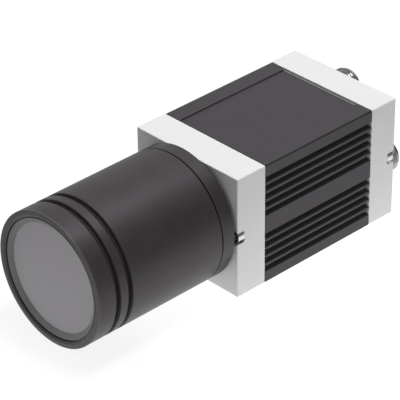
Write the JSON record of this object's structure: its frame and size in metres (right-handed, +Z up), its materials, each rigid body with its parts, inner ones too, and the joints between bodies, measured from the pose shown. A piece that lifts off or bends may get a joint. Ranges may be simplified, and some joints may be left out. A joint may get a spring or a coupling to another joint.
{
  "type": "machine vision camera",
  "caption": "Square finned camera body with light grey end covers, a screw-on protective tube over its lens and round threaded connectors behind.",
  "frame": {"origin": "centre of the camera's bounding box in X and Y, on the plane of its base", "axes": "+X across the body, -Y where the lens looks, +Z up from the flat base"},
  "size_m": [0.0456, 0.1412, 0.0457],
  "materials": {
    "cover_paint": "satin powder coat, light grey",
    "housing_black": "matt black anodised",
    "tube_black": "matt black anodised",
    "window_pane": "coated flat glass",
    "optical_glass": "polished, coated",
    "filter_glass": "infrared cut coating",
    "seal_rubber": "matt black",
    "screw_steel": "bright stainless",
    "mount_steel": "turned stainless",
    "lens_black": "satin black anodised",
    "blade_steel": "blackened spring steel",
    "board_laminate": "solder resist over glass laminate",
    "chip_black": "moulded package",
    "sensor_package": "dark ceramic package",
    "pad_grey": "soft silicone pad",
    "spreader_metal": "bare sheet",
    "post_brass": "turned brass",
    "plug_plastic": "moulded strip",
    "connector_nickel": "nickel plated",
    "insert_plastic": "moulded black",
    "contact_gold": "gold plated",
    "light_clear": "clear moulded",
    "light_chip": "moulded chip"
  },
  "bodies": {
    "camera": {"front_cover": "cover_paint", "front_cover_seal": "seal_rubber", "front_cover_screws": "screw_steel", "housing": "housing_black", "rear_cover": "cover_paint", "rear_cover_seal": "seal_rubber", "rear_cover_screws": "screw_steel", "base_ring": "tube_black", "tube_seal": "seal_rubber", "base_ring_gasket": "seal_rubber", "base_ring_screws": "screw_steel", "mount_ring": "mount_steel", "infrared_filter": "filter_glass", "lens_barrel": "lens_black", "image_sensor": "sensor_package", "sensor_glass": "optical_glass", "sensor_board": "board_laminate", "processor_board": "board_laminate", "interface_board": "board_laminate", "standoffs": "post_brass", "board_screws": "screw_steel", "processor_chip": "chip_black", "thermal_pad": "pad_grey", "heat_spreader": "spreader_metal", "memory_chips": "chip_black", "board_plugs": "plug_plastic", "power_connector_shell": "connector_nickel", "power_connector_nut": "connector_nickel", "power_connector_seal": "seal_rubber", "network_connector_shell": "connector_nickel", "network_connector_nut": "connector_nickel", "network_connector_seal": "seal_rubber", "power_connector_insert": "insert_plastic", "power_connector_pins": "contact_gold", "network_connector_insert": "insert_plastic", "network_connector_contacts": "contact_gold", "light_pipes": "light_clear", "status_lights": "light_chip"},
    "tube_set": {"protective_tube": "tube_black", "spacer_ring": "tube_black", "spacer_seal": "seal_rubber", "window_bezel": "tube_black", "bezel_seal": "seal_rubber", "window_glass": "window_pane", "window_gasket": "seal_rubber", "window_retaining_ring": "tube_black"},
    "iris_ring": {"iris_ring": "lens_black"},
    "focus_ring": {"focus_ring": "lens_black"},
    "iris_lock": {"iris_lock_screw": "screw_steel"},
    "focus_lock": {"focus_lock_screw": "screw_steel"},
    "lens_cell": {"optics_cell": "lens_black", "front_element": "optical_glass", "rear_element": "optical_glass", "element_retainer": "lens_black"},
    "blade_1": {"iris_blade_1": "blade_steel"},
    "blade_2": {"iris_blade_2": "blade_steel"},
    "blade_3": {"iris_blade_3": "blade_steel"},
    "blade_4": {"iris_blade_4": "blade_steel"},
    "blade_5": {"iris_blade_5": "blade_steel"},
    "blade_6": {"iris_blade_6": "blade_steel"}
  },
  "joints": [
    {"name": "tube_removal", "type": "slide", "parent": "camera", "child": "tube_set", "axis": [0, -1, 0], "range_m": [0, 0.06]},
    {"name": "focus_turn", "type": "hinge", "parent": "camera", "child": "focus_ring", "pos_m": [0, -0.03072, 0.02295], "axis": [0, -1, 0], "range_deg": [0, 180]},
    {"name": "cell_travel", "type": "slide", "parent": "camera", "child": "lens_cell", "axis": [0, -1, 0], "range_m": [0, 0.0015]},
    {"name": "iris_turn", "type": "hinge", "parent": "camera", "child": "iris_ring", "pos_m": [0, -0.01943, 0.02295], "axis": [0, -1, 0], "range_deg": [0, 70]},
    {"name": "focus_lock_turn", "type": "hinge", "parent": "focus_ring", "child": "focus_lock", "pos_m": [0, -0.02583, 0.03795], "axis": [0, 0, 1], "range_deg": [0, 270]},
    {"name": "iris_lock_turn", "type": "hinge", "parent": "iris_ring", "child": "iris_lock", "pos_m": [0, -0.01852, 0.03695], "axis": [0, 0, 1], "range_deg": [0, 270]},
    {"name": "blade_1_swing", "type": "hinge", "parent": "lens_cell", "child": "blade_1", "pos_m": [0.00675, -0.02722, 0.02295], "axis": [0, -1, 0], "range_deg": [0, 26]},
    {"name": "blade_2_swing", "type": "hinge", "parent": "lens_cell", "child": "blade_2", "pos_m": [0.00337, -0.02737, 0.0288], "axis": [0, -1, 0], "range_deg": [0, 26]},
    {"name": "blade_3_swing", "type": "hinge", "parent": "lens_cell", "child": "blade_3", "pos_m": [-0.00337, -0.02751, 0.0288], "axis": [0, -1, 0], "range_deg": [0, 26]},
    {"name": "blade_4_swing", "type": "hinge", "parent": "lens_cell", "child": "blade_4", "pos_m": [-0.00675, -0.02764, 0.02295], "axis": [0, -1, 0], "range_deg": [0, 26]},
    {"name": "blade_5_swing", "type": "hinge", "parent": "lens_cell", "child": "blade_5", "pos_m": [-0.00337, -0.02779, 0.0171], "axis": [0, -1, 0], "range_deg": [0, 26]},
    {"name": "blade_6_swing", "type": "hinge", "parent": "lens_cell", "child": "blade_6", "pos_m": [0.00337, -0.02792, 0.0171], "axis": [0, -1, 0], "range_deg": [0, 26]}
  ],
  "couplings": [
    {"joint": "cell_travel", "follows": "focus_turn", "m_per_rad": 0.000477},
    {"joint": "blade_1_swing", "follows": "iris_turn", "ratio": 0.37},
    {"joint": "blade_2_swing", "follows": "iris_turn", "ratio": 0.37},
    {"joint": "blade_3_swing", "follows": "iris_turn", "ratio": 0.37},
    {"joint": "blade_4_swing", "follows": "iris_turn", "ratio": 0.37},
    {"joint": "blade_5_swing", "follows": "iris_turn", "ratio": 0.37},
    {"joint": "blade_6_swing", "follows": "iris_turn", "ratio": 0.37}
  ]
}
